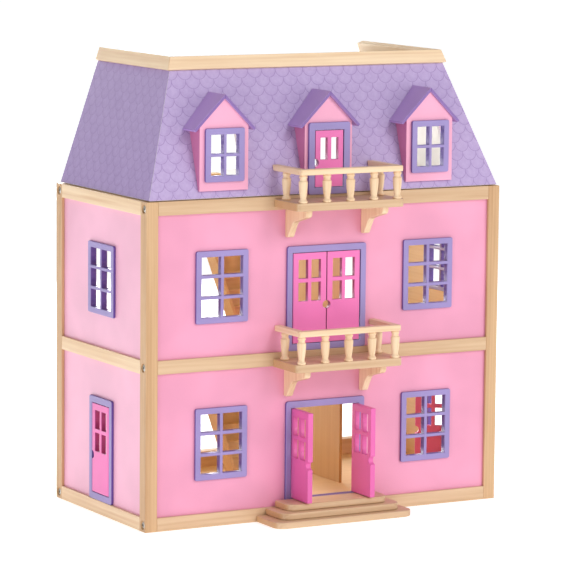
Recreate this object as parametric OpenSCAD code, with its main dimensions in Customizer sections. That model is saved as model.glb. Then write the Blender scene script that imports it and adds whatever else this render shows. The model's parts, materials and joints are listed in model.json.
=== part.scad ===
// Wooden dollhouse: three storeys on a post-and-rail frame, mansard roof with
// dormers, two balconies and seven opening door leaves. Open at the back.
// The origin lies on the ground under the middle of the whole outline,
// +Z is up and the front faces -Y.

/* [Frame] */
// Width over the corner posts
frame_w = 620; // [612:1:640]
// Depth over the corner posts
frame_d = 315.5; // [310:0.5:330]
// Height of the corner posts
frame_h = 500; // [496:1:510]
// Side of the square posts, and depth of the rails between them
post_w = 20; // [19:0.5:22]
// Height of the front and side rails
rail_h = 21; // [20:0.5:22]
// Height of the board along the foot of the open back
back_board_h = 56; // [40:1:60]
// Thickness of the wall panels
panel_t = 5; // [4:0.5:5.5]
// How far the wall panels lie behind the face of the rails
panel_recess = 5; // [4.5:0.5:5.5]
// Thickness of the floor boards
floor_t = 10; // [8:0.5:10]

/* [Roof] */
// Height of the sloping roof boards above the frame
roof_rise = 190.4; // [186:0.1:195]
// Lean of the front roof board from upright
front_lean = 18.26; // [17:0.01:19]
// Lean of the side roof boards from upright
side_lean = 18.88; // [18:0.01:20]
// Thickness of the roof boards
roof_t = 6; // [5:0.5:6.5]
// Width of the cornice rails along the slope
cornice_h = 20.6; // [18:0.1:24]
// Thickness of the cornice rails
cornice_t = 12; // [10:0.5:14]

/* [Windows] */
// Width of a wall window over its frame
window_w = 89; // [84:0.5:94]
// Height of a wall window over its frame
window_h = 110.5; // [104:0.5:116]
// Distance of the front windows from the middle of the house
window_x = 181; // [176:1:190]
// Width of the bars around a wall window
window_bar = 9.3; // [8.5:0.1:10.5]
// Width of the thin bars between panes
muntin = 5; // [4:0.5:6]

/* [Doors] */
// Clear width of a double doorway
door_w = 120; // [118:0.5:122]
// Clear height of the wall doorways
door_h = 140.5; // [138:0.5:142]
// Clear width of a side doorway
side_door_w = 60; // [59:0.5:61]
// Width of the bars around a doorway
door_bar = 9.25; // [9:0.05:10]
// Height of the head and sill bars of a doorway
sill_h = 10.5; // [10:0.1:11]
// Thickness of the door leaves
leaf_t = 8.5; // [8:0.1:9]
// How far the left ground leaf stands open
ground_left_open = 91; // [0:1:94]
// How far the right ground leaf stands open
ground_right_open = 90; // [0:1:94]
// How far the right-hand side leaf stands open into the house
right_side_open = 60; // [0:1:95]

/* [Dormers] */
// Distance of the outer dormers from the middle of the house
dormer_x = 180; // [176:1:184]
// Width of a dormer
dormer_w = 83; // [82:0.5:86]
// Height of the outer dormers' feet above the frame
dormer_foot = 12.5; // [9:0.5:14]
// Height of the dormer eaves above the frame
dormer_eave = 110; // [108:0.5:114]

/* [Balconies and steps] */
// How far the handrails stand out from the frame
balcony_reach = 75.25; // [70:0.25:80]
// Width of a balcony floor
balcony_w = 187.4; // [184:0.2:192]
// Thickness of a balcony floor
balcony_t = 12.5; // [11:0.5:13]
// Clear height of the balusters
baluster_h = 42; // [40:0.5:46]
// Thickness of one front step
step_h = 10.5; // [10:0.1:10.5]

/* [Inside] */
// Distance of the partitions from the middle of the house
partition_x = 74; // [72:0.5:80]
// Risers in each flight of stairs
stair_risers = 10; // [8:1:12]
// Width of a flight over its two strings
stair_w = 60; // [50:1:62]

/* [Hidden] */

$fn = 48;
// Overshoot of cutters, a loose fit, and the hairline left in a glued joint
over = 1;
fit = 0.1;
hair = 0.1;

pine = "#E9CD9B";
front_pink = "#F6ABCB";
side_pink = "#F9C8DE";
lavender = "#A591CD";
shingle = "#BEA5D7";
dormer_purple = "#8C73B9";
magenta = "#E95FB0";
ply = "#DEBE8C";
steel = "#C4C6C8";

// Planes of the frame
half_w = frame_w / 2;
face_y = (balcony_reach - frame_d) / 2;
mid_y = balcony_reach / 2;
back_y = (balcony_reach + frame_d) / 2;
post_x = half_w - post_w;
rail_z = [0, (frame_h - rail_h) / 2, frame_h - rail_h];
rail_top = [for (z = rail_z) z + rail_h];
panel_y = face_y + panel_recess;
panel_in_y = panel_y + panel_t;
panel_x = half_w - panel_recess;
panel_in_x = panel_x - panel_t;
// Panels stand in grooves of this depth
groove = 4;

// Openings in the walls
proud = 4.5;
lap = 3;
head_z = [for (i = [0, 1]) rail_top[i] + door_h + 2 * sill_h];
window_z = [for (z = head_z) z - window_h / 2];
plug_d = panel_t + 1.3;

// Doors: each leaf turns on two pins in its hinge edge, close to the front face
// in the front doors and on the middle line in the side doors
frame_depth = 12;
leaf_set = 0.5;
front_pin = 2.6;
side_pin = leaf_t / 2;
edge_gap = 1;
end_gap = 0.8;
pin_r = 1;
pin_in_frame = 5;
pin_in_leaf = 8;
leaf_w = door_w / 2 - edge_gap - end_gap;
side_leaf_w = side_door_w - edge_gap - end_gap;
sill_z = [for (i = [0, 1]) rail_top[i] + sill_h];
side_out_x = panel_x + proud;

// Roof planes pass through these lines at the top of the frame
roof_y = face_y + 0.85;
roof_x = half_w - 4.1;
roof_back = back_y - 5.5;
front_n = [0, -cos(front_lean), sin(front_lean)];
side_n = [cos(side_lean), 0, sin(side_lean)];
cornice_out = 4.9;
deck_t = 6;
deck_top = roof_rise - 2.4;

// Dormers
dormer_half = dormer_w / 2;
dormer_y = face_y + 0.75;
dormer_face_t = 6;
cheek_t = 5;
dormer_cut = dormer_half - cheek_t;
dormer_top = frame_h + dormer_eave;
dormer_roof_t = 4.5;
dormer_roof_w = 52.6;
dormer_overhang = 3.5;
centre_overhang = 6;
dormer_window = [66.5, 81];
dormer_window_z = frame_h + 66.5;
dormer_plug_d = 7.5;
attic_bar = 10.5;
attic_head_h = 11.5;
attic_door = [51, 88];
attic_leaf_w = attic_door[0] - edge_gap - end_gap;
attic_sill_z = frame_h + sill_h;
attic_hole_w = attic_door[0] + 2 * (attic_bar - lap) + 2 * fit;
attic_hole_top = attic_sill_z + attic_door[1] + attic_head_h - lap + fit;

// Balconies
balcony_top = [rail_top[1] - 9.5, rail_top[2] - 4];
platform_reach = balcony_reach - 1.5;
handrail_half = 89;
handrail_w = 11.5;
handrail_h = 9;
baluster_inset = 7;
baluster_x = handrail_half - baluster_inset;
baluster_front_y = face_y - balcony_reach + baluster_inset;
baluster_back_y = face_y - 16.5;
tenon_r = 2.5;
tenon_l = 5;
bracket_x = 66.5;
bracket_t = 11;
bracket_h = 47;
bracket_reach = 66;

// Front steps, from the ground up
step_half = [120.5, 104.5, 88.5];
step_reach = [69, 57.5, 46];

// Inside
stair_x = -80;
stair_foot_y = face_y + 89.75;
stair_run = 18.4;
stair_rise = (rail_top[1] - rail_top[0]) / stair_risers;
stair_len = stair_run * stair_risers;
string_t = 5;
well_y = [stair_foot_y + 68, stair_foot_y + stair_len + 0.3];
well_half = stair_w / 2 + 2;
partition_t = 5;
doorway_y = face_y + 81;
doorway_h = 174;

// Knock-down fasteners
bolt_r = 3;
bolt_head_r = 6.2;
bolt_head_h = 3.5;
bolt_l = 46;
bolt_sink = 1;
nut_r = 5;
nut_l = 14;
nut_x = post_x - 20;
front_bolt_z = [for (z = rail_z) z + rail_h / 2];
back_bolt_z = [front_bolt_z[0], front_bolt_z[2]];

// ---- shapes shared by several parts ----

function unit(v) = v / norm(v);

module box(lo, hi) translate(lo) cube(hi - lo);

module at_both_sides() for (side = [0, 1]) mirror([side, 0, 0]) children();

// Centred rectangle with round corners
module rounded(w, h, r) {
    square([w - 2 * r, h], center = true);
    square([w, h - 2 * r], center = true);
    for (sx = [-1, 1], sy = [-1, 1])
        translate([sx * (w / 2 - r), sy * (h / 2 - r)]) circle(r);
}

// Outline in X and Z, standing upright with its front face at y
module upright(y, t) translate([0, y + t, 0]) rotate([90, 0, 0]) linear_extrude(t) children();

// Outline in Y and Z, standing upright with its left face at x
module sideways(x, t) translate([x, 0, 0]) rotate([90, 0, 90]) linear_extrude(t) children();

// Points on an arc from angle a to angle b
function arc(centre, r, a, b, steps) = [
    for (i = [0 : steps]) let (angle = a + (b - a) * i / steps) centre + r * [cos(angle), sin(angle)]
];

// Everything beyond the plane through p with the normal n
module beyond(p, n) {
    reach = 2 * frame_w;
    translate(p) rotate([0, acos(n[2]), atan2(n[1], n[0])])
        translate([-reach / 2, -reach / 2, 0]) cube(reach);
}

// Everything behind the outer face of the front roof board
module under_front_roof() beyond([0, roof_y, frame_h], -front_n);

// Places a part drawn face on, with +Z pointing out of the wall
module on_front(x, z, y = panel_y) translate([x, y, z]) rotate([90, 0, 0]) children();
module on_left(y, z) translate([-panel_x, y, z]) rotate([90, 0, -90]) children();
module on_right(y, z) translate([panel_x, y, z]) rotate([90, 0, 90]) children();

// Grid of panes, centred
module panes(size, gap, columns, rows)
    for (i = [0 : columns - 1], j = [0 : rows - 1])
        translate([(i - (columns - 1) / 2) * (size[0] + gap), (j - (rows - 1) / 2) * (size[1] + gap)])
            square(size, center = true);

// ---- frame ----

// Bore for a frame bolt, from the right-hand side face inwards
module bolt_bore(y, z) {
    translate([half_w + over, y, z]) rotate([0, -90, 0]) {
        cylinder(r = bolt_head_r + 0.3, h = bolt_sink + bolt_head_h + over);
        cylinder(r = bolt_r + 0.3, h = post_w + 40 + over);
    }
}

module post(y, bolt_heights, is_front) color(pine) difference() {
    box([post_x, y, 0], [half_w, y + post_w, frame_h]);
    for (z = bolt_heights) bolt_bore(y + post_w / 2, z);
    groove_z = [rail_h - groove, frame_h - rail_h + groove];
    side_groove_y = is_front ? y + post_w - groove : y - over;
    box([panel_in_x - fit, side_groove_y, groove_z[0]],
        [panel_x + fit, side_groove_y + groove + over, groove_z[1]]);
    if (is_front)
        box([post_x - over, panel_y - fit, groove_z[0]], [post_x + groove, panel_in_y + fit, groove_z[1]]);
}

module post_front_right() post(face_y, front_bolt_z, true);
module post_front_left() mirror([1, 0, 0]) post_front_right();
module post_back_right() post(back_y - post_w, back_bolt_z, false);
module post_back_left() mirror([1, 0, 0]) post_back_right();

// Holes for one bolt and its barrel nut in the right-hand end of a rail
module rail_bores(y, z, nut_side) {
    bolt_bore(y, z);
    translate([nut_x, y - nut_side * (nut_l / 2), z]) rotate([-90 * nut_side, 0, 0])
        cylinder(r = nut_r + 0.05, h = post_w);
}

// Front rails: panel grooves above and below, barrel nuts from the room side
module front_rails() color(pine) for (i = [0 : 2]) difference() {
    box([-post_x, face_y, rail_z[i]], [post_x, face_y + post_w, rail_top[i]]);
    at_both_sides() rail_bores(face_y + post_w / 2, front_bolt_z[i], 1);
    if (i < 2) box([-frame_w, panel_y - fit, rail_top[i] - groove], [frame_w, panel_in_y + fit, frame_h]);
    if (i > 0) box([-frame_w, panel_y - fit, 0], [frame_w, panel_in_y + fit, rail_z[i] + groove]);
}

// Back: a tall board at the foot and a rail under the attic
module back_rails() color(pine) {
    foot = [0, rail_z[2]];
    head = [back_board_h, rail_top[2]];
    for (i = [0, 1]) difference() {
        box([-post_x, back_y - post_w, foot[i]], [post_x, back_y, head[i]]);
        at_both_sides() rail_bores(back_y - post_w / 2, back_bolt_z[i], -1);
    }
}

module right_side_rails() color(pine) for (i = [0 : 2]) difference() {
    box([post_x, face_y + post_w, rail_z[i]], [half_w, back_y - post_w, rail_top[i]]);
    if (i < 2) box([panel_in_x - fit, face_y, rail_top[i] - groove], [panel_x + fit, back_y, frame_h]);
    if (i > 0) box([panel_in_x - fit, face_y, 0], [panel_x + fit, back_y, rail_z[i] + groove]);
}

module left_side_rails() mirror([1, 0, 0]) right_side_rails();

// ---- walls ----

// Rectangle between two rails, let into the grooves, from a to b across
module panel_blank(storey, a, b) {
    tongue = groove - fit;
    translate([a - tongue, rail_top[storey] - tongue])
        square([b - a + 2 * tongue, rail_z[storey + 1] - rail_top[storey] + 2 * tongue]);
}

module window_hole() square([window_w - 2 * lap + 2 * fit, window_h - 2 * lap + 2 * fit], center = true);

// Doorway cut from below the rail up to the frame's head
module door_hole(clear_w, storey) {
    w = clear_w + 2 * (door_bar - lap) + 2 * fit;
    translate([-w / 2, rail_z[storey]]) square([w, head_z[storey] - lap + fit - rail_z[storey]]);
}

module front_panel(storey) color(front_pink) upright(panel_y, panel_t) difference() {
    panel_blank(storey, -post_x, post_x);
    for (sx = [-1, 1]) translate([sx * window_x, window_z[storey]]) window_hole();
    door_hole(door_w, storey);
}

module right_panel(storey) color(side_pink) sideways(panel_in_x, panel_t) difference() {
    panel_blank(storey, face_y + post_w, back_y - post_w);
    if (storey == 0) translate([mid_y, 0]) door_hole(side_door_w, storey);
    else translate([mid_y, window_z[storey]]) window_hole();
}

module front_panel_lower() front_panel(0);
module front_panel_upper() front_panel(1);
module right_panel_lower() right_panel(0);
module right_panel_upper() right_panel(1);
module left_panel_lower() mirror([1, 0, 0]) right_panel(0);
module left_panel_upper() mirror([1, 0, 0]) right_panel(1);

// ---- windows ----

// Window: a lip lies on the wall and a plug fills the hole
module window(size, bar, gap, rows, plug) color(lavender) {
    pane = [(size[0] - 2 * bar - gap) / 2, (size[1] - 2 * bar - (rows - 1) * gap) / rows];
    difference() {
        union() {
            linear_extrude(proud) rounded(size[0], size[1], 3);
            translate([0, 0, -plug]) linear_extrude(plug + fit)
                square([size[0] - 2 * lap, size[1] - 2 * lap], center = true);
        }
        translate([0, 0, -frame_depth]) linear_extrude(2 * frame_depth) panes(pane, gap, 2, rows);
    }
}

module wall_window() window([window_w, window_h], window_bar, muntin, 3, plug_d);
module dormer_window(x) on_front(x, dormer_window_z, dormer_y)
    window(dormer_window, 9.5, 4.5, 2, dormer_plug_d);

module window_front_lower_left() on_front(-window_x, window_z[0]) wall_window();
module window_front_lower_right() on_front(window_x, window_z[0]) wall_window();
module window_front_upper_left() on_front(-window_x, window_z[1]) wall_window();
module window_front_upper_right() on_front(window_x, window_z[1]) wall_window();
module window_left_side() on_left(mid_y, window_z[1]) wall_window();
module window_right_side() on_right(mid_y, window_z[1]) wall_window();
module dormer_window_left() dormer_window(-dormer_x);
module dormer_window_right() dormer_window(dormer_x);

// ---- doors ----

// Blind pin holes in sill and head, at x from the middle of the doorway
module frame_pin_holes(x, pin, clear_h) for (z = [sill_h - pin_in_frame - fit, sill_h + clear_h - over])
    translate([x, z, proud - leaf_set - pin]) rotate([-90, 0, 0])
        cylinder(r = pin_r + 0.02, h = pin_in_frame + fit + over);

// Door frame, drawn face on with its foot at y = 0 and a lip that lies on the
// wall; hinges lists the sides that carry pins, -1 for left and 1 for right
module door_frame(clear, bar, head, hinges, pin = front_pin) color(lavender) {
    w = clear[0] + 2 * bar;
    h = clear[1] + sill_h + head;
    back = frame_depth - proud;
    difference() {
        union() {
            translate([0, h / 2, 0]) linear_extrude(proud) rounded(w, h, 4);
            translate([-w / 2 + lap, 0, -back]) cube([w - 2 * lap, h - lap, back + fit]);
        }
        translate([-clear[0] / 2, sill_h, -frame_depth]) cube([clear[0], clear[1], 2 * frame_depth]);
        for (side = hinges) frame_pin_holes(side * (clear[0] / 2 - edge_gap - pin), pin, clear[1]);
    }
}

module double_frame() door_frame([door_w, door_h], door_bar, sill_h, [-1, 1]);
module side_frame(hinge) door_frame([side_door_w, door_h], door_bar, sill_h, [hinge], side_pin);

module door_frame_ground() on_front(0, rail_top[0]) double_frame();
module door_frame_first() on_front(0, rail_top[1]) double_frame();
module door_frame_left_side() on_left(mid_y, rail_top[0]) side_frame(1);
module door_frame_right_side() on_right(mid_y, rail_top[0]) side_frame(-1);
module door_frame_attic() on_front(0, frame_h, dormer_y)
    door_frame(attic_door, attic_bar, attic_head_h, [1]);

// Door leaf: the hinge line is the Z axis, pin in from the hinge edge and from
// the front face, which looks along -Y; the leaf runs along +X from it. The
// panes hang from the top rail, and a half-round notch is the finger grip.
module leaf(w, h, pin, pane, gap, rows, top_rail, notch_z) color(magenta) {
    free_x = w - pin;
    panes_h = rows * pane[1] + (rows - 1) * gap;
    difference() {
        linear_extrude(h) {
            translate([0, -pin]) square([free_x, leaf_t]);
            circle(pin);
            if (pin < leaf_t / 2) translate([-pin, 0]) square([pin + fit, leaf_t - pin]);
        }
        translate([w / 2 - pin, leaf_t, h - top_rail - panes_h / 2]) rotate([90, 0, 0])
            linear_extrude(2 * leaf_t) panes(pane, gap, 2, rows);
        translate([free_x, leaf_t, notch_z]) rotate([90, 0, 0]) cylinder(r = 6, h = 2 * leaf_t);
        for (z = [-over, h - pin_in_leaf - fit])
            translate([0, 0, z]) cylinder(r = pin_r + 0.05, h = pin_in_leaf + fit + over);
    }
}

module wall_leaf(w, pin, hinge, storey, turn)
    translate([hinge[0], hinge[1], sill_z[storey] + end_gap]) rotate([0, 0, turn])
        leaf(w, door_h - 2 * end_gap, pin, [16.5, 29], 6, 2, 10.5, 57.7);

// Hinge lines, in X and Y, of a left-hand leaf, a side leaf and the attic leaf
left_hinge = [edge_gap + front_pin - door_w / 2, panel_y - proud + leaf_set + front_pin];
side_hinge = [side_out_x - leaf_set - side_pin, mid_y - side_door_w / 2 + edge_gap + side_pin];
attic_hinge = [edge_gap + front_pin - attic_door[0] / 2, dormer_y - proud + leaf_set + front_pin];

module left_leaf(storey, open) wall_leaf(leaf_w, front_pin, left_hinge, storey, -open);
module right_leaf(storey, open) mirror([1, 0, 0]) left_leaf(storey, open);
module side_leaf(open) wall_leaf(side_leaf_w, side_pin, side_hinge, 0, 90 + open);

module door_leaf_ground_left() left_leaf(0, ground_left_open);
module door_leaf_ground_right() right_leaf(0, ground_right_open);
module door_leaf_first_left() left_leaf(1, 0);
module door_leaf_first_right() right_leaf(1, 0);
module door_leaf_left_side() mirror([1, 0, 0]) side_leaf(0);
module door_leaf_right_side() side_leaf(right_side_open);
module door_leaf_attic() mirror([1, 0, 0])
    translate([attic_hinge[0], attic_hinge[1], attic_sill_z + end_gap])
        leaf(attic_leaf_w, attic_door[1] - 2 * end_gap, front_pin, [12.3, 33.8], 6.5, 1, 10.9, 37.5);

// A steel pin at the foot and at the head of every leaf
module pin_pair(hinge, foot, clear_h) {
    pin_l = pin_in_frame + end_gap + pin_in_leaf;
    for (z = [foot - pin_in_frame, foot + clear_h + pin_in_frame - pin_l])
        translate([hinge[0], hinge[1], z]) cylinder(r = pin_r, h = pin_l);
}

module hinge_pins() color(steel) {
    at_both_sides() {
        for (z = sill_z) pin_pair(left_hinge, z, door_h);
        pin_pair(side_hinge, sill_z[0], door_h);
    }
    mirror([1, 0, 0]) pin_pair(attic_hinge, attic_sill_z, attic_door[1]);
}

// ---- floors and rooms ----

// Floor board notched round the posts and the backs of the door frames
module floor_board(storey, y_end, side_doors, stairwell) color(ply)
    translate([0, 0, rail_top[storey]]) linear_extrude(floor_t) difference() {
        translate([-panel_in_x, panel_in_y]) square([2 * panel_in_x, y_end - panel_in_y]);
        for (sx = [-1, 1], y = [face_y, back_y - post_w])
            translate([sx * half_w - post_w - fit, y - fit])
                square([2 * (post_w + fit), post_w + 2 * fit]);
        notch_w = door_w + 2 * (door_bar - lap) + 4 * fit;
        translate([-notch_w / 2, face_y]) square([notch_w, frame_depth + 0.5 + fit]);
        side_notch = [2 * (frame_depth + 0.5 + fit), side_door_w + 2 * (door_bar - lap) + 4 * fit];
        if (side_doors) for (sx = [-1, 1]) translate([sx * half_w, mid_y]) square(side_notch, center = true);
        if (stairwell) well();
    }

module well() translate([stair_x - well_half, well_y[0]]) square([2 * well_half, well_y[1] - well_y[0]]);

module floor_ground() floor_board(0, back_y - post_w, true, false);
module floor_first() floor_board(1, back_y, false, true);

// Attic floor: inside the foot of the roof boards
module floor_attic() color(ply) translate([0, 0, frame_h]) linear_extrude(floor_t) difference() {
    edge_x = roof_x - floor_t * tan(side_lean) - roof_t / cos(side_lean) - fit;
    edge_y = roof_y + floor_t * tan(front_lean) + roof_t / cos(front_lean) + fit;
    translate([-edge_x, edge_y]) square([2 * edge_x, roof_back - edge_y]);
    well();
}

// Partition with an open doorway beside the front wall
module partition(storey, y_end) color(ply)
    sideways(partition_x - partition_t / 2, partition_t) difference() {
    foot = rail_top[storey] + floor_t;
    translate([panel_in_y + fit, foot]) square([y_end - panel_in_y - fit, rail_top[storey + 1] - foot]);
    translate([face_y, foot - over]) square([doorway_y - face_y, doorway_h + over]);
    translate([face_y, rail_z[storey + 1] - fit]) square([post_w + fit, rail_h + over]);
    translate([back_y - post_w - fit, frame_h - rail_h - fit]) square([post_w + over, rail_h + over]);
}

module partition_ground() partition(0, back_y - post_w);
module partition_first() partition(1, back_y - 8);

// Straight flight between two strings, rising towards the back
module staircase(foot) color(ply) translate([0, stair_foot_y, foot]) {
    under = 9;
    lip = 4;
    top = stair_rise * stair_risers;
    back = stair_run / stair_rise;
    half = stair_w / 2;
    steps = [for (i = [0 : stair_risers - 1], j = [0, 1]) [stair_run * i, stair_rise * (i + j)]];
    sideways(stair_x - half + string_t, stair_w - 2 * string_t)
        polygon(concat(steps, [[stair_len, top], [stair_len, top - under], [under * back, 0]]));
    for (x = [-half, half - string_t]) sideways(stair_x + x, string_t)
        polygon([
            [0, 0],
            [0, stair_rise + lip],
            [stair_len - stair_run - lip * back, top],
            [stair_len, top],
            [stair_len, top - under - lip],
            [(under + lip) * back, 0]
        ]);
}

module staircase_ground() staircase(rail_top[0] + floor_t);
module staircase_first() staircase(rail_top[1] + floor_t);

// ---- roof ----

// Board on a slope: from and to run up the slope, low and high are measured
// out of its face
module on_front_slope(from, to, low, high)
    translate([0, roof_y, frame_h]) rotate([90 - front_lean, 0, 0])
        translate([-half_w, from, low]) cube([frame_w, to - from, high - low]);

module on_side_slope(from, to, low, high)
    translate([roof_x, mid_y, frame_h]) rotate([0, 0, 90]) rotate([90 - side_lean, 0, 0])
        translate([-half_w, from, low]) cube([frame_w, to - from, high - low]);

// Halves of the mitre at the right-hand hip, a hairline apart
hip = [roof_x, roof_y, frame_h];
hip_n = unit(side_n - front_n);

module cut_front_mitre() at_both_sides() beyond(hip - hip_n * hair / 2, hip_n);
module cut_side_mitre() {
    beyond(hip + hip_n * hair / 2, -hip_n);
    box([-frame_w, roof_back, 0], [frame_w, 2 * frame_d, 2 * frame_h]);
}

front_top = roof_rise / cos(front_lean);
side_top = roof_rise / cos(side_lean);

module roof_front() color(shingle) difference() {
    on_front_slope(roof_t * tan(front_lean), front_top - hair, -roof_t, 0);
    cut_front_mitre();
    for (sx = [-1, 1]) box([sx * dormer_x - dormer_cut, face_y - over, frame_h + dormer_foot + 6],
        [sx * dormer_x + dormer_cut, mid_y, dormer_top - 4]);
    box([-dormer_cut, face_y - over, 0], [dormer_cut, mid_y, dormer_top - 4]);
}

module roof_right() color(shingle) difference() {
    on_side_slope(roof_t * tan(side_lean), side_top - hair, -roof_t, 0);
    cut_side_mitre();
}

module roof_left() mirror([1, 0, 0]) roof_right();

module roof_deck() color(shingle) {
    edge_x = roof_x - deck_top * tan(side_lean) - roof_t / cos(side_lean) - fit;
    edge_y = roof_y + deck_top * tan(front_lean) + roof_t / cos(front_lean) + fit;
    box([-edge_x, edge_y, frame_h + deck_top - deck_t], [edge_x, roof_back, frame_h + deck_top]);
}

module cornice_rails() color(pine) {
    inside = cornice_out - cornice_t;
    difference() {
        on_front_slope(front_top, front_top + cornice_h, inside, cornice_out);
        cut_front_mitre();
    }
    at_both_sides() difference() {
        on_side_slope(side_top, side_top + cornice_h, inside, cornice_out);
        cut_side_mitre();
    }
}

// ---- dormers ----

// Gabled face and two cheeks, scribed to the roof; the children are cut out
// of the face
module dormer(x, foot) color(front_pink) translate([x, 0, 0]) difference() {
    union() {
        upright(dormer_y, dormer_face_t) difference() {
            polygon([
                [-dormer_half, foot],
                [dormer_half, foot],
                [dormer_half, dormer_top],
                [0, dormer_top + dormer_half],
                [-dormer_half, dormer_top]
            ]);
            children();
        }
        at_both_sides() box([dormer_cut, dormer_y, foot], [dormer_half, mid_y, dormer_top]);
    }
    under_front_roof();
}

module side_dormer(x) dormer(x, frame_h + dormer_foot) translate([0, dormer_window_z])
    square([dormer_window[0] - 2 * lap + 2 * fit, dormer_window[1] - 2 * lap + 2 * fit], center = true);

module dormer_left() side_dormer(-dormer_x);
module dormer_right() side_dormer(dormer_x);
module dormer_centre() dormer(0, frame_h)
    translate([-attic_hole_w / 2, frame_h - over]) square([attic_hole_w, attic_hole_top - frame_h + over]);

module dormer_roofs() color(dormer_purple) for (x = [-dormer_x, 0, dormer_x]) translate([x, 0, 0])
    at_both_sides() difference() {
        rise = dormer_roof_t * sqrt(2);
        peak = dormer_top + dormer_half;
        overhang = x == 0 ? centre_overhang : dormer_overhang;
        upright(dormer_y - overhang, frame_d) polygon([
            [hair / 2, peak - hair / 2],
            [hair / 2, peak + rise - hair / 2],
            [dormer_roof_w, peak + rise - dormer_roof_w],
            [dormer_roof_w - rise / 2, peak + rise / 2 - dormer_roof_w]
        ]);
        under_front_roof();
    }

// ---- balconies ----

baluster_spots = concat(
    [for (i = [-2 : 2]) [i * baluster_x / 2, baluster_front_y]],
    [for (sx = [-1, 1]) [sx * baluster_x, baluster_back_y]]
);

module baluster_holes(z) for (p = baluster_spots)
    translate([p[0], p[1], z]) cylinder(r = tenon_r + 0.05, h = tenon_l + fit + over);

module platform(top) color(pine) difference() {
    w = balcony_w;
    corner = 8;
    translate([0, 0, top - balcony_t]) linear_extrude(balcony_t) {
        translate([0, face_y - platform_reach / 2]) rounded(w, platform_reach, corner);
        translate([-w / 2, face_y - platform_reach / 2]) square([w, platform_reach / 2]);
    }
    baluster_holes(top - tenon_l - fit);
}

module balcony_first_platform() platform(balcony_top[0]);
module balcony_attic_platform() platform(balcony_top[1]);

// Front bar and two side bars, butted with a hairline between them
module handrail(top, wall_y) color(pine) {
    foot = top + baluster_h;
    front_y = face_y - balcony_reach;
    difference() {
        union() {
            translate([0, front_y + handrail_w / 2, foot]) linear_extrude(handrail_h) {
                translate([0, -1]) rounded(2 * handrail_half, handrail_w - 2, 3);
                translate([-handrail_half, -1]) square([2 * handrail_half, handrail_w / 2 + 1]);
            }
            at_both_sides() box([handrail_half - handrail_w, front_y + handrail_w + hair, foot],
                [handrail_half, wall_y, foot + handrail_h]);
        }
        baluster_holes(foot - over);
        if (top > frame_h - rail_h) under_front_roof();
    }
}

module balcony_first_handrail() handrail(balcony_top[0], panel_y);
module balcony_attic_handrail() handrail(balcony_top[1], mid_y);

// Turned baluster: foot bead, neck, body swelling upwards to a shoulder, and
// a collar under the handrail, with a tenon at each end
module baluster() {
    foot = arc([4.5, 2.1], 2.4, -60, 60, 6);
    body = [for (t = [0 : 0.1 : 1]) [4.7 + 2.2 * sin(90 * t), 6.5 + 25 * t]];
    shoulder = arc([5.1, 31.5], 1.8, 15, 75, 4);
    groove = [[5.2, 34.4], [5.2, 36.3]];
    collar = arc([4.1, 39.1], 2.3, -60, 60, 6);
    stretch = baluster_h / 42;
    turned = [for (p = concat(foot, body, shoulder, groove, collar)) [p[0], p[1] * stretch]];
    rotate_extrude() polygon(concat(
        [[0, -tenon_l], [tenon_r, -tenon_l], [tenon_r, 0], [5.2, 0]],
        turned,
        [[5, baluster_h], [tenon_r, baluster_h], [tenon_r, baluster_h + tenon_l], [0, baluster_h + tenon_l]]
    ));
}

module balusters() color(pine) for (z = balcony_top, p = baluster_spots)
    translate([p[0], p[1], z]) baluster();

// Bracket: round toe, cove and round nose, scribed round the rail behind it.
// The outline is drawn with its reach in X and its height in Y.
module bracket(top) difference() {
    low = top - balcony_t - bracket_h;
    nose_r = 8;
    toe_r = 5;
    outline = concat(
        [[0, 0]],
        arc([6.3, toe_r], toe_r, -90, -30.5, 4),
        arc([35.3, 10.2], 17.3, 149.5, 104.5, 5),
        arc([bracket_reach - nose_r, bracket_h - 4.7], nose_r, -75.5, 0, 5),
        [[bracket_reach, bracket_h], [0, bracket_h]]
    );
    sideways(-bracket_t / 2, bracket_t) polygon([for (p = outline) [panel_y - p[0], low + p[1]]]);
    box([-bracket_t, face_y - fit, rail_z[2] - fit], [bracket_t, panel_y + over, frame_h]);
}

module balcony_brackets() color(pine) for (z = balcony_top, sx = [-1, 1])
    translate([sx * bracket_x, 0, 0]) bracket(z);

// Three treads stacked against the frame, a hairline apart
module front_steps() color(pine) for (i = [0 : 2]) {
    corner = 17;
    reach = step_reach[i];
    translate([0, face_y - reach / 2, i * step_h]) linear_extrude(step_h - hair) {
        rounded(2 * step_half[i], reach, corner);
        translate([-step_half[i], 0]) square([2 * step_half[i], reach / 2]);
    }
}

// ---- fasteners ----

// Button-head bolt along -X from the head, with a hexagon socket
module frame_bolt() rotate([0, -90, 0]) difference() {
    union() {
        rotate_extrude() polygon(concat(
            [[0, bolt_head_h], [bolt_head_r, bolt_head_h]],
            [for (a = [0 : 15 : 75]) [bolt_head_r * cos(a), 2.4 * (1 - sin(a))]],
            [[0, 0]]
        ));
        translate([0, 0, bolt_head_h]) cylinder(r = bolt_r, h = bolt_l);
    }
    translate([0, 0, -over]) cylinder(r = 2.6, h = 2.2 + over, $fn = 6);
}

// Barrel nut across a rail, cross-drilled for the bolt and slotted at the end
module barrel_nut(slot_side) difference() {
    translate([0, -nut_l / 2, 0]) rotate([-90, 0, 0]) cylinder(r = nut_r, h = nut_l);
    translate([-nut_r - over, 0, 0]) rotate([0, 90, 0]) cylinder(r = bolt_r + 0.05, h = 2 * (nut_r + over));
    translate([0, slot_side * nut_l / 2, 0]) cube([1.2, 2.4, 2 * nut_r + over], center = true);
}

module frame_bolts() color(steel) at_both_sides() {
    for (z = front_bolt_z) translate([half_w - bolt_sink, face_y + post_w / 2, z]) frame_bolt();
    for (z = back_bolt_z) translate([half_w - bolt_sink, back_y - post_w / 2, z]) frame_bolt();
}

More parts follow.
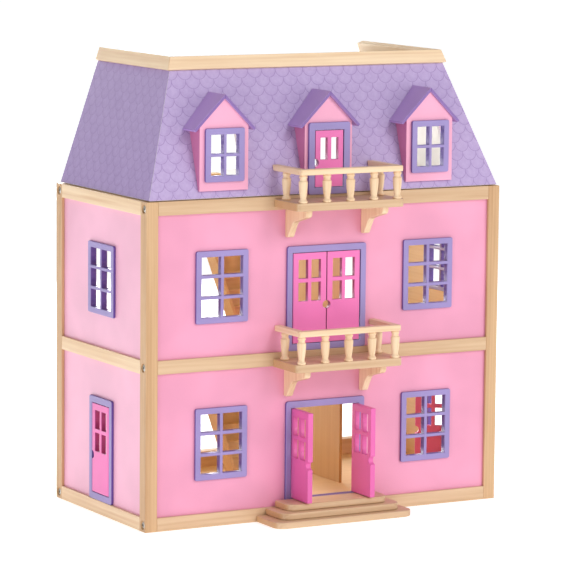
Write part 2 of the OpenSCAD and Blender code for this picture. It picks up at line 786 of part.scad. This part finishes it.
module barrel_nuts() color(steel) at_both_sides() {
    for (z = front_bolt_z) translate([nut_x, face_y + post_w / 2, z]) barrel_nut(1);
    for (z = back_bolt_z) translate([nut_x, back_y - post_w / 2, z]) barrel_nut(-1);
}

post_front_left();
post_front_right();
post_back_left();
post_back_right();
front_rails();
back_rails();
left_side_rails();
right_side_rails();
front_panel_lower();
front_panel_upper();
left_panel_lower();
left_panel_upper();
right_panel_lower();
right_panel_upper();
window_front_lower_left();
window_front_lower_right();
window_front_upper_left();
window_front_upper_right();
window_left_side();
window_right_side();
dormer_window_left();
dormer_window_right();
door_frame_ground();
door_frame_first();
door_frame_attic();
door_frame_left_side();
door_frame_right_side();
door_leaf_ground_left();
door_leaf_ground_right();
door_leaf_first_left();
door_leaf_first_right();
door_leaf_attic();
door_leaf_left_side();
door_leaf_right_side();
hinge_pins();
floor_ground();
floor_first();
floor_attic();
partition_ground();
partition_first();
staircase_ground();
staircase_first();
roof_front();
roof_left();
roof_right();
roof_deck();
cornice_rails();
dormer_left();
dormer_centre();
dormer_right();
dormer_roofs();
balcony_first_platform();
balcony_attic_platform();
balcony_first_handrail();
balcony_attic_handrail();
balusters();
balcony_brackets();
front_steps();
frame_bolts();
barrel_nuts();
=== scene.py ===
"""Wooden dollhouse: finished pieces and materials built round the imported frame."""
import json
import math

import bmesh
import bpy
from mathutils import Matrix, Vector


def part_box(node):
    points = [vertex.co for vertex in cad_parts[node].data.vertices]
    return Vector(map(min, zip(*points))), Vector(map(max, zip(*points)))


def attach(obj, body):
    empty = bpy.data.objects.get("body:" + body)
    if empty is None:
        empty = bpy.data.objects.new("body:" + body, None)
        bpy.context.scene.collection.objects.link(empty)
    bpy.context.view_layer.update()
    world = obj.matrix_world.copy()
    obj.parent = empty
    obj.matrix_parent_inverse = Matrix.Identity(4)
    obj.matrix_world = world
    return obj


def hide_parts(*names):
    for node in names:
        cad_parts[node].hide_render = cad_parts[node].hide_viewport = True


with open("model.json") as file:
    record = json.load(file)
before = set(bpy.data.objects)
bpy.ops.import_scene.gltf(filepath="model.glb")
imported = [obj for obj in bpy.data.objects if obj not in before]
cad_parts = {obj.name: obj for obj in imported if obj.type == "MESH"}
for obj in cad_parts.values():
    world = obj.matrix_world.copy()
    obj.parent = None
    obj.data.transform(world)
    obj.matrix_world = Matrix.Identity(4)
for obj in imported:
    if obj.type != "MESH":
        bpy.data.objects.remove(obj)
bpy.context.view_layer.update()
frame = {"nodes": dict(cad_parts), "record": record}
NODES = frame["nodes"]
BODY_OF = {node: body for body, nodes in frame["record"]["behaviour"]["bodies"].items() for node in nodes}
SLOT_OF = {part["node"]: part["material_slot"] for part in frame["record"]["subparts"]}

MM = 0.001
X, Y, Z = 0, 1, 2

# Boxes of the pieces that the prints and the grain are lined up with
FRAME_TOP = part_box("post_front_right")[1].z
ROOF_LOW, ROOF_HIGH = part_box("roof_front")
SIDE_ROOF_LOW, SIDE_ROOF_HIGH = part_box("roof_right")
CORNICE_LOW, CORNICE_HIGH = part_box("cornice_rails")
HANDRAIL_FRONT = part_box("balcony_first_handrail")[0].y
BALUSTERS_LOW, BALUSTERS_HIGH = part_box("balusters")


def srgb(red, green, blue):
    """A display colour from 0 to 255 as a linear colour."""
    def linear(value):
        value /= 255
        return value / 12.92 if value <= 0.04045 else ((value + 0.055) / 1.055) ** 2.4
    return linear(red), linear(green), linear(blue), 1.0


# ---- material arithmetic ----


class Field:
    """A number that varies over a surface: a shader socket with arithmetic."""

    def __init__(self, tree, socket):
        self.tree = tree
        self.socket = socket

    def math(self, operation, *others):
        node = self.tree.nodes.new("ShaderNodeMath")
        node.operation = operation
        for socket, value in zip(node.inputs, (self, *others)):
            feed(self.tree, socket, value)
        return Field(self.tree, node.outputs[0])

    def __add__(self, other):
        return self.math("ADD", other)

    def __sub__(self, other):
        return self.math("SUBTRACT", other)

    def __rsub__(self, other):
        return (self * -1.0) + other

    def __mul__(self, other):
        return self.math("MULTIPLY", other)

    def __truediv__(self, other):
        return self.math("DIVIDE", other)

    def abs(self):
        return self.math("ABSOLUTE")

    def floor(self):
        return self.math("FLOOR")

    def wrap(self):
        """The fractional part."""
        return self.math("FRACT")

    def sqrt(self):
        return self.math("SQRT")

    def sine(self):
        return self.math("SINE")

    def least(self, other):
        return self.math("MINIMUM", other)

    def above(self, other):
        return self.math("GREATER_THAN", other)

    def pick(self, when_one, when_zero):
        """when_one where this field is 1, when_zero where it is 0."""
        return self * (when_one - when_zero) + when_zero

    def ramp(self, low, high):
        """0 below low, 1 above high, smooth between them."""
        node = self.tree.nodes.new("ShaderNodeMapRange")
        node.interpolation_type = "SMOOTHSTEP"
        feed(self.tree, node.inputs["Value"], self)
        feed(self.tree, node.inputs["From Min"], low)
        feed(self.tree, node.inputs["From Max"], high)
        return Field(self.tree, node.outputs[0])


def feed(tree, socket, value):
    """Links a field or socket to an input, or sets the input to a plain value."""
    if isinstance(value, Field):
        value = value.socket
    if isinstance(value, bpy.types.NodeSocket):
        tree.links.new(value, socket)
    else:
        socket.default_value = value


class Surface:
    """A material under construction: its tree, shader and coordinates."""

    def __init__(self, name, roughness=0.45, specular=0.4, metallic=0.0):
        self.material = bpy.data.materials.new(name)
        self.material.use_nodes = True
        self.tree = self.material.node_tree
        self.shader = self.tree.nodes["Principled BSDF"]
        self.shader.inputs["Roughness"].default_value = roughness
        self.shader.inputs["Specular IOR Level"].default_value = specular
        self.shader.inputs["Metallic"].default_value = metallic
        self.coordinates = self.tree.nodes.new("ShaderNodeTexCoord")
        self.position = self.coordinates.outputs["Object"]
        self.x, self.y, self.z = self.split(self.position)
        self.nx, self.ny, self.nz = self.split(self.coordinates.outputs["Normal"])

    def split(self, vector):
        node = self.tree.nodes.new("ShaderNodeSeparateXYZ")
        self.tree.links.new(vector, node.inputs[0])
        return [Field(self.tree, output) for output in node.outputs]

    def vector(self, x, y, z):
        node = self.tree.nodes.new("ShaderNodeCombineXYZ")
        for socket, value in zip(node.inputs, (x, y, z)):
            feed(self.tree, socket, value)
        return node.outputs[0]

    def noise(self, vector, scale, detail=2.0, roughness=0.5):
        """Soft noise from 0 to 1, with scale features to a metre."""
        node = self.tree.nodes.new("ShaderNodeTexNoise")
        self.tree.links.new(vector, node.inputs["Vector"])
        node.inputs["Scale"].default_value = scale
        node.inputs["Detail"].default_value = detail
        node.inputs["Roughness"].default_value = roughness
        return Field(self.tree, node.outputs["Fac"])

    def speckle(self, vector):
        """A random number for each whole-numbered cell."""
        node = self.tree.nodes.new("ShaderNodeTexWhiteNoise")
        self.tree.links.new(vector, node.inputs["Vector"])
        return Field(self.tree, node.outputs["Value"])

    def blend(self, amount, first, second):
        """The first colour where amount is 0, the second where it is 1."""
        node = self.tree.nodes.new("ShaderNodeMix")
        node.data_type = "RGBA"
        feed(self.tree, node.inputs[0], amount)
        feed(self.tree, node.inputs[6], first)
        feed(self.tree, node.inputs[7], second)
        return node.outputs[2]

    def finish(self, colour, height=None, depth=0.0, roughness=None):
        """Wires colour, bump height (0 to 1, over depth metres) and roughness."""
        feed(self.tree, self.shader.inputs["Base Color"], colour)
        if roughness is not None:
            feed(self.tree, self.shader.inputs["Roughness"], roughness)
        if height is not None:
            bump = self.tree.nodes.new("ShaderNodeBump")
            bump.inputs["Distance"].default_value = depth
            feed(self.tree, bump.inputs["Height"], height)
            self.tree.links.new(bump.outputs[0], self.shader.inputs["Normal"])
        return self.material


# ---- wood ----


RING_RATE = 1500  # radians of growth ring to a metre across the grain
RING_WANDER = 12 * MM
GRAIN_RELIEF = 0.12 * MM
BOARD_RELIEF = 0.08 * MM

# Pairs of tones, which the figure of the wood runs between
PALE_PINE = srgb(249, 222, 186), srgb(220, 176, 130)
TAN_PINE = srgb(217, 179, 137), srgb(182, 136, 93)
RAIL_PINE = srgb(223, 191, 155), srgb(193, 152, 112)
END_GRAIN = srgb(222, 180, 130), srgb(184, 136, 88)
BARE_BOARD = srgb(233, 200, 150), srgb(220, 182, 134)
BOARD_EDGE = srgb(180, 132, 80)


def grain(surface, along, across, depth, tones, seed):
    """Straight-grained softwood between two tones: (colour, height)."""
    def stretched(factor):
        return surface.vector(along * factor + seed, across, depth)

    wander = surface.noise(stretched(0.05), 28, detail=2) * RING_WANDER
    rings = ((across * 0.75 + depth * 0.45 + wander) * RING_RATE).sine() * 0.5 + 0.5
    figure = surface.noise(stretched(0.05), 70, detail=3, roughness=0.6)
    fibre = surface.noise(stretched(0.03), 900, detail=2, roughness=0.7)
    streak = surface.noise(stretched(0.02), 160, detail=2)
    tone = rings * 0.16 + figure.ramp(0.35, 0.7) * 0.42
    tone = tone + streak.ramp(0.55, 0.75) * 0.30 + fibre * 0.22 - 0.12
    return surface.blend(tone, *tones), fibre * 0.7 + rings * 0.3


def axes_from(surface, run):
    """The three coordinates, the one along the grain first."""
    axes = [surface.x, surface.y, surface.z]
    return [axes[run]] + [axes[i] for i in (X, Y, Z) if i != run]


def pine(name, run, seed, mask=None, other_run=None, tones=PALE_PINE):
    """Clear-varnished pine with the grain along axis run. Where mask is 1 it
    runs along other_run instead."""
    surface = Surface(name, roughness=0.42, specular=0.35)
    directions = axes_from(surface, run)
    if mask is not None:
        chosen = mask(surface)
        others = axes_from(surface, other_run)
        directions = [chosen.pick(other, one) for one, other in zip(directions, others)]
    colour, height = grain(surface, *directions, tones, seed)
    if mask is None:
        end = (surface.nx, surface.ny, surface.nz)[run].abs().ramp(0.75, 0.95)
        pores = surface.noise(surface.position, 1400, detail=1)
        colour = surface.blend(end * 0.75, colour, surface.blend(pores, *END_GRAIN))
    gloss = surface.noise(surface.position, 60) * 0.14 + 0.34
    return surface.finish(colour, height, GRAIN_RELIEF, gloss)


def board(name, run, seed, on_face=None):
    """Bare tan board with fine grain along axis run. Where on_face(surface)
    is 0 the darker cut edge shows."""
    surface = Surface(name, roughness=0.6, specular=0.25)
    colour, height = grain(surface, *axes_from(surface, run), BARE_BOARD, seed)
    if on_face is not None:
        colour = surface.blend(on_face(surface), BOARD_EDGE, colour)
    return surface.finish(colour, height, BOARD_RELIEF)


# ---- paint ----

SATIN = 0.38  # roughness of the paint
STIPPLE_RELIEF = 0.05 * MM


def paint(name, colour, mottle=0.05, inside=None, outer=None, edges=None):
    """Satin paint over smooth board, with a trace of roller stipple. Where
    outer(surface) is 0 the bare board shows, with its grain along the first
    of inside(surface). edges is a pair: a darker colour painted on the cut
    edges as shade, and a function that is 1 on the faces of the board."""
    surface = Surface(name, roughness=SATIN, specular=0.45)
    cloud = surface.noise(surface.position, 9, detail=2)
    stipple = surface.noise(surface.position, 1100, detail=2, roughness=0.6)
    deep = tuple(channel * (1 - 2.4 * mottle) for channel in colour[:3]) + (1.0,)
    pale = tuple(min(1.0, channel * (1 + mottle) + 0.01) for channel in colour[:3]) + (1.0,)
    tone = cloud.ramp(0.3, 0.7) * 0.7 + stipple * 0.3
    painted = surface.blend(tone, deep, pale)
    # Painted shade: where on_face is 0 (cut edges, reveals, cheeks, undersides) the darker edge colour
    # stands for the shade those faces sit in.
    if edges is not None:
        shaded_edge_colour, on_face = edges
        painted = surface.blend(on_face(surface), shaded_edge_colour, painted)
    height = stipple
    gloss = cloud * 0.12 + (SATIN - 0.06)
    if outer is not None:
        shown = outer(surface)
        bare, fibres = grain(surface, *inside(surface), BARE_BOARD, 4.0)
        painted = surface.blend(shown, bare, painted)
        height = shown.pick(stipple, fibres)
        gloss = shown.pick(gloss, 0.6)
    return surface.finish(painted, height, STIPPLE_RELIEF, gloss)


# ---- printed shingles ----

SHINGLE_W = 24 * MM
SHINGLE_ROW = 14.4 * MM
LINE = 0.45 * MM
PRINT_RELIEF = 0.04 * MM
LINE_LILAC = srgb(138, 112, 172)
LILAC = srgb(174, 150, 200), srgb(197, 177, 218)
SHADED_LILAC = srgb(156, 132, 184), srgb(178, 155, 204)
ROOF_LINING = srgb(236, 233, 228), srgb(244, 242, 238)
ZINC_RELIEF = 0.02 * MM
ZINC = srgb(168, 166, 160), srgb(214, 214, 210)


def roof_lean(low, high, axis):
    """How far a roof board leans in along axis for each metre of height."""
    return (high[axis] - low[axis]) / (high.z - low.z)


def scale_pattern(surface, side):
    """Rows of round scales on a roof board: distance inside the edge of the
    scale, distance from the nearest edge, and the scale's column and row."""
    if side:
        lean = roof_lean(SIDE_ROOF_LOW, SIDE_ROOF_HIGH, X)
    else:
        lean = roof_lean(ROOF_LOW, ROOF_HIGH, Y)
    up = (surface.z - FRAME_TOP) * math.hypot(1, lean) / SHINGLE_ROW
    across = (surface.y if side else surface.x) / SHINGLE_W
    radius = SHINGLE_W / 2

    def scale(row):
        """Distance inside the edge of this row's scale, and its column."""
        shifted = across + (row * 0.5).wrap()
        column = shifted.floor()
        sideways = (shifted.wrap() - 0.5) * SHINGLE_W
        below = ((up - row) * SHINGLE_ROW - radius).least(0.0)
        reach = (sideways * sideways + below * below).sqrt()
        return (reach * -1.0) + radius, column

    row = up.floor()
    upper_edge, upper_column = scale(row)
    lower_edge, lower_column = scale(row - 1.0)
    on_upper = upper_edge.above(0.0)
    inner = on_upper.pick(upper_edge, lower_edge)
    edge = upper_edge.abs().least(inner.abs())
    return inner, edge, on_upper.pick(upper_column, lower_column), on_upper.pick(row, row - 1.0)


def shingles(name, side, tones):
    """Lilac fish-scale print on the outer face of a roof board with a white
    back. side is true for the left and right boards."""
    surface = Surface(name, roughness=0.45, specular=0.4)
    inner, edge, column, row = scale_pattern(surface, side)
    line = 1.0 - edge.ramp(LINE * 0.35, LINE * 1.25)
    own_tone = surface.speckle(surface.vector(column, row, 3.0 if side else 7.0))
    mottle = surface.noise(surface.position, 160, detail=4, roughness=0.65)
    broad = surface.noise(surface.position, 30, detail=2)
    tone = mottle.ramp(0.3, 0.74) * 0.45 + own_tone * 0.12 + broad * 0.25
    tone = tone + inner.ramp(0.0, SHINGLE_W / 4) * 0.15
    printed = surface.blend(line * 0.8, surface.blend(tone, *tones), LINE_LILAC)
    facing = (surface.nx.abs() if side else surface.ny * -1.0).ramp(0.5, 0.7)
    outward = surface.nz.above(-0.05) * facing
    colour = surface.blend(outward, surface.blend(broad, *ROOF_LINING), printed)
    return surface.finish(colour, mottle, PRINT_RELIEF, mottle * 0.1 + 0.4)


def zinc(name):
    """Bright zinc-plated steel with fine turning marks."""
    surface = Surface(name, roughness=0.3, specular=0.5, metallic=1.0)
    cloud = surface.noise(surface.position, 400, detail=3)
    scratch = surface.noise(surface.vector(surface.x * 0.2, surface.y, surface.z), 4000, detail=2)
    return surface.finish(surface.blend(cloud, *ZINC), scratch, ZINC_RELIEF, cloud * 0.25 + 0.2)


# ---- where each paint and grain goes ----

HANDRAIL_BAR = 11.55 * MM  # width of the front bar, up to the joint


def outside_front(surface):
    return (surface.ny * -1.0).ramp(0.3, 0.6)


def outside_side(surface):
    facing_out = (surface.nx * surface.x).above(0.0)
    return surface.nx.abs().ramp(0.3, 0.6) * facing_out


def faces_front(surface):
    return surface.ny.abs().ramp(0.3, 0.7)


def faces_side(surface):
    return surface.nx.abs().ramp(0.3, 0.7)


def slopes(surface):
    return surface.nz.abs().ramp(0.2, 0.5)


def up_front(surface):
    return surface.x, surface.z, surface.y


def up_side(surface):
    return surface.y, surface.z, surface.x


def handrail_side(surface):
    """1 on the side bars of the handrails, 0 on the front bar."""
    return surface.y.above(HANDRAIL_FRONT + HANDRAIL_BAR)


def cornice_side(surface):
    """1 on the side cornice rails, beyond the mitre line."""
    inset = (surface.x.abs() - CORNICE_HIGH.x) * -1.0
    return (surface.y - CORNICE_LOW.y).above(inset)


PINK = srgb(241, 162, 193)
# Painted sheen: a paler copy of PINK for the side walls, standing for the brighter light and white
# reflection on them.
SHEENED_SIDE_PINK = srgb(249, 187, 212)
# Painted shade: a darker pink for the dormer cheeks and every other face that doesn't face front.
SHADED_CHEEK_PINK = srgb(210, 124, 168)
LAVENDER = srgb(157, 141, 198)
# Painted shade: a darker violet on the reveals and edges of the window and door frames.
SHADED_LAVENDER_EDGE = srgb(102, 76, 162)
DORMER_PINK = srgb(247, 174, 203)
MAGENTA = srgb(244, 122, 190)
# Painted shade: a darker magenta on the reveals and edges of the door leaves.
SHADED_MAGENTA_EDGE = srgb(168, 60, 124)
# Painted shade: a darker copy of MAGENTA for the leaves that stand open.
SHADED_OPEN_MAGENTA = srgb(234, 106, 178)
DORMER_PURPLE = srgb(184, 150, 212)
# Painted shade: a darker purple on the fronts and undersides of the dormer roofs.
SHADED_PURPLE_EDGE = srgb(136, 106, 172)
WHITE = srgb(242, 240, 236)

MATERIALS = {
    "pine_post": pine("pine_post", Z, 0.0, tones=TAN_PINE),
    "pine_up": pine("pine_up", Z, 1.7),
    "pine_across": pine("pine_across", X, 3.1, tones=RAIL_PINE),
    # Painted sheen: the side rails take the paler PALE_PINE tones rather than RAIL_PINE, standing for the
    # brighter light on the sides.
    "pine_deep_sheened": pine("pine_deep_sheened", Y, 6.7),
    "pine_handrail": pine("pine_handrail", X, 8.2, handrail_side, Y),
    "pine_cornice": pine("pine_cornice", X, 5.5, cornice_side, Y),
    "front_paint": paint("front_paint", PINK, inside=up_front, outer=outside_front),
    "sheened_side_paint": paint("sheened_side_paint", SHEENED_SIDE_PINK, inside=up_side, outer=outside_side),
    "dormer_paint": paint("dormer_paint", DORMER_PINK, edges=(SHADED_CHEEK_PINK, faces_front)),
    "lavender_front": paint("lavender_front", LAVENDER, edges=(SHADED_LAVENDER_EDGE, faces_front)),
    "lavender_side": paint("lavender_side", LAVENDER, edges=(SHADED_LAVENDER_EDGE, faces_side)),
    "magenta_front": paint("magenta_front", MAGENTA, edges=(SHADED_MAGENTA_EDGE, faces_front)),
    "magenta_side": paint("magenta_side", MAGENTA, edges=(SHADED_MAGENTA_EDGE, faces_side)),
    "shaded_magenta_open": paint("shaded_magenta_open", SHADED_OPEN_MAGENTA),
    "purple_paint": paint("purple_paint", DORMER_PURPLE, edges=(SHADED_PURPLE_EDGE, slopes)),
    "shingles_front": shingles("shingles_front", False, LILAC),
    "shingles_side": shingles("shingles_side", True, SHADED_LILAC),
    "board_floor": board("board_floor", X, 1.0),
    "board_wall": board("board_wall", Z, 2.0, faces_side),
    "board_stairs": board("board_stairs", X, 3.0),
    "white_board": paint("white_board", WHITE, mottle=0.02),
    "zinc": zinc("zinc"),
}


MATERIAL_OF_NODE = {
    "cornice_rails": "pine_cornice",
    "balcony_first_handrail": "pine_handrail",
    "balcony_attic_handrail": "pine_handrail",
    "left_side_rails": "pine_deep_sheened",
    "right_side_rails": "pine_deep_sheened",
    "balcony_brackets": "pine_up",
    "balusters": "pine_up",
    "roof_front": "shingles_front",
    "roof_left": "shingles_side",
    "roof_right": "shingles_side",
    "roof_deck": "white_board",
    "floor_attic": "white_board",
    "partition_ground": "board_wall",
    "partition_first": "board_wall",
    "staircase_ground": "board_stairs",
    "staircase_first": "board_stairs",
    "door_leaf_first_left": "magenta_front",
    "door_leaf_first_right": "magenta_front",
    "door_leaf_attic": "magenta_front",
    "door_leaf_left_side": "magenta_side",
}
MATERIAL_OF_SLOT = {
    "front_wall": "front_paint",
    "side_wall": "sheened_side_paint",
    "dormer_wall": "dormer_paint",
    "magenta_paint": "shaded_magenta_open",
    "dormer_roof_paint": "purple_paint",
    "plywood": "board_floor",
    "steel": "zinc",
}


def material_for(node):
    """The material of a node, from its name and its slot in the record."""
    slot = SLOT_OF[node]
    if node in MATERIAL_OF_NODE:
        return MATERIALS[MATERIAL_OF_NODE[node]]
    if node.startswith("post_"):
        return MATERIALS["pine_post"]
    if slot == "lavender_paint":
        return MATERIALS["lavender_side" if "side" in node else "lavender_front"]
    return MATERIALS[MATERIAL_OF_SLOT.get(slot, "pine_across")]


# ---- pieces ----


def add_piece(name, mesh, node):
    """Links a finished mesh that stands for a CAD node."""
    piece = bpy.data.objects.new(name, mesh)
    bpy.context.scene.collection.objects.link(piece)
    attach(piece, BODY_OF[node])
    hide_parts(node)
    return piece


WELD = 0.002 * MM  # corners closer together than this are one
FLAT = math.radians(0.4)  # faces that meet at less than this are one
SHARP = math.radians(38)  # edges that turn by more than this are eased
EASE_SEGMENTS = 2

EDGE_RADIUS = {
    "post_": 0.9 * MM,
    "front_rails": 0.7 * MM,
    "back_rails": 0.7 * MM,
    "left_side_rails": 0.7 * MM,
    "right_side_rails": 0.7 * MM,
    "cornice_rails": 0.8 * MM,
    "balcony_": 1.3 * MM,
    "front_steps": 2.0 * MM,
    "window_": 1.1 * MM,
    "dormer_window": 1.1 * MM,
    "door_frame": 1.1 * MM,
    "door_leaf": 0.7 * MM,
    "dormer_": 0.6 * MM,
    "staircase": 0.4 * MM,
}
PLAIN_RADIUS = 0.35 * MM

# Columns of openings or baluster holes in a piece
COLUMNS = {
    "window_": 2,
    "dormer_window_": 2,
    "door_frame_": 1,
    "door_leaf_": 1,
    "balcony_": 5,
}
BALUSTER_R = 5.2 * MM


def edge_radius(node):
    fits = [key for key in EDGE_RADIUS if node.startswith(key)]
    return EDGE_RADIUS[max(fits, key=len)] if fits else PLAIN_RADIUS


def column_direction(work, node):
    """The level direction in which a piece's columns follow each other."""
    if node.startswith("door_leaf_"):
        largest = max(work.faces, key=lambda face: face.calc_area())
        return Vector((0, 0, 1)).cross(largest.normal).normalized()
    return Vector((0, 1, 0)) if "side" in node else Vector((1, 0, 0))


def column_places(node, first, last, columns):
    """Where the middles of the columns are, between a piece's two ends."""
    if node.startswith("balcony_"):
        first, last = BALUSTERS_LOW.x + BALUSTER_R, BALUSTERS_HIGH.x - BALUSTER_R
        return [first + (last - first) * i / (columns - 1) for i in range(columns)]
    return [first + (last - first) * (i + 0.5) / columns for i in range(columns)]


def slice_columns(work, node, columns):
    """Cuts a piece upright through the middle of each column, so that no face
    goes round a hole, and marks the cuts as seams."""
    across = column_direction(work, node)
    reach = [across.dot(vert.co) for vert in work.verts]
    for place in column_places(node, min(reach), max(reach), columns):
        everything = work.verts[:] + work.edges[:] + work.faces[:]
        cut = bmesh.ops.bisect_plane(work, geom=everything, plane_co=across * place, plane_no=across)
        for part in cut["geom_cut"]:
            if isinstance(part, bmesh.types.BMEdge):
                part.seam = True


def clean_mesh(node):
    """A node's mesh in large flat faces, with its outer corners marked."""
    mesh = NODES[node].data.copy()
    mesh.materials.clear()
    mesh.materials.append(material_for(node))
    work = bmesh.new()
    work.from_mesh(mesh)
    bmesh.ops.remove_doubles(work, verts=work.verts, dist=WELD)
    for prefix, columns in COLUMNS.items():
        if node.startswith(prefix):
            slice_columns(work, node, columns)
    bmesh.ops.dissolve_limit(
        work, angle_limit=FLAT, verts=work.verts, edges=work.edges, delimit={"SEAM"}
    )
    weight = work.edges.layers.float.new("bevel_weight_edge")
    for edge in work.edges:
        edge[weight] = float(edge.calc_face_angle_signed(0) > SHARP)
    work.to_mesh(mesh)
    work.free()
    mesh.attributes.remove(mesh.attributes["custom_normal"])
    mesh.shade_smooth()
    return mesh


def soften(node):
    """A piece with the node's shape and eased outer corners."""
    piece = add_piece(node + ".finished", clean_mesh(node), node)
    bevel = piece.modifiers.new("eased_edges", "BEVEL")
    bevel.width = edge_radius(node)
    bevel.segments = EASE_SEGMENTS
    bevel.limit_method = "WEIGHT"
    bevel.use_clamp_overlap = False
    bevel.harden_normals = True


# Nodes whose own meshes are fine as they are
FINE = ("hinge_pins", "frame_bolts", "barrel_nuts")


def finish_nodes():
    for node in NODES:
        if node in FINE:
            NODES[node].data.materials.clear()
            NODES[node].data.materials.append(material_for(node))
        else:
            soften(node)


# ---- stage, lights and camera ----


FLOOR_REACH = 40.0
FLOOR_GREYS = (0.8, 0.8, 0.8, 1.0), (0.78, 0.78, 0.78, 1.0)
FLOOR_GLOW = 0.6
STAGE_WHITE = (1.0, 1.0, 1.0, 1.0)
LIGHT_AIM = Vector((0, 0, 0.35))

# Sun: position that it shines from, strength, and angle that it fills
KEY_POSITION, KEY_STRENGTH, KEY_ANGLE = (0.8, -2.7, 2.2), 0.84, math.radians(18)
# Softboxes: name, position, size and power
SOFTBOXES = (
    ("softbox_right", (1.5, -1.9, 1.0), 1.0, 8.0),
    ("softbox_left", (-1.5, -0.9, 0.35), 0.8, 4.0),
    ("softbox_behind", (0.2, 2.4, 0.9), 1.4, 95.0),
)

# Camera fitted to the corners of the frame in the photo
CAMERA_PLACE = (-2.5615, -4.616, 1.0476)
CAMERA_ANGLES = (-28.88, 7.584, 0.528)  # azimuth, elevation and roll in degrees
CAMERA_LENS, CAMERA_SENSOR, CAMERA_REACH = 214.93, 36, 60


def make_floor():
    surface = Surface("floor", roughness=0.9, specular=0.1)
    tone = surface.noise(surface.position, 3)
    surface.shader.inputs["Emission Color"].default_value = STAGE_WHITE
    surface.shader.inputs["Emission Strength"].default_value = FLOOR_GLOW
    material = surface.finish(surface.blend(tone, *FLOOR_GREYS))
    mesh = bpy.data.meshes.new("floor")
    size = FLOOR_REACH
    corners = [(-size, -size, 0), (size, -size, 0), (size, size, 0), (-size, size, 0)]
    mesh.from_pydata(corners, [], [(0, 1, 2, 3)])
    mesh.materials.append(material)
    floor = bpy.data.objects.new("floor", mesh)
    bpy.context.scene.collection.objects.link(floor)


def make_sky(seen, felt):
    """A white studio: brightness seen behind the object, and felt by it."""
    world = bpy.data.worlds.new("studio")
    world.use_nodes = True
    nodes = world.node_tree.nodes
    rays = nodes.new("ShaderNodeLightPath")
    strength = nodes.new("ShaderNodeMapRange")
    strength.inputs["To Min"].default_value = felt
    strength.inputs["To Max"].default_value = seen
    world.node_tree.links.new(rays.outputs["Is Camera Ray"], strength.inputs["Value"])
    nodes["Background"].inputs["Color"].default_value = STAGE_WHITE
    world.node_tree.links.new(strength.outputs[0], nodes["Background"].inputs["Strength"])
    bpy.context.scene.world = world


def add_light(kind, name, position, power):
    """A light that shines from position at the middle of the house."""
    data = bpy.data.lights.new(name, kind)
    data.energy = power
    light = bpy.data.objects.new(name, data)
    bpy.context.scene.collection.objects.link(light)
    light.location = position
    light.rotation_mode = "QUATERNION"
    light.rotation_quaternion = (LIGHT_AIM - Vector(position)).to_track_quat("-Z", "Y")
    return data


def make_lights():
    make_sky(seen=1.0, felt=0.42)
    key = add_light("SUN", "key", KEY_POSITION, KEY_STRENGTH)
    key.angle = KEY_ANGLE
    for name, position, size, power in SOFTBOXES:
        box = add_light("AREA", name, position, power)
        box.shape = "SQUARE"
        box.size = size


def make_camera():
    azimuth, elevation, roll = (math.radians(angle) for angle in CAMERA_ANGLES)
    back = Vector((
        math.sin(azimuth) * math.cos(elevation),
        -math.cos(azimuth) * math.cos(elevation),
        math.sin(elevation),
    ))
    right = Vector((math.cos(azimuth), math.sin(azimuth), 0.0))
    up = back.cross(right)
    rolled_right = right * math.cos(roll) + up * math.sin(roll)
    rolled_up = up * math.cos(roll) - right * math.sin(roll)
    turn = Matrix((rolled_right, rolled_up, back)).transposed()
    data = bpy.data.cameras.new("camera")
    data.lens = CAMERA_LENS
    data.sensor_width = CAMERA_SENSOR
    data.clip_end = CAMERA_REACH
    camera = bpy.data.objects.new("camera", data)
    bpy.context.scene.collection.objects.link(camera)
    camera.matrix_world = Matrix.Translation(CAMERA_PLACE) @ turn.to_4x4()
    bpy.context.scene.camera = camera


finish_nodes()
make_floor()
make_lights()
make_camera()
bpy.context.scene.view_settings.view_transform = "Standard"
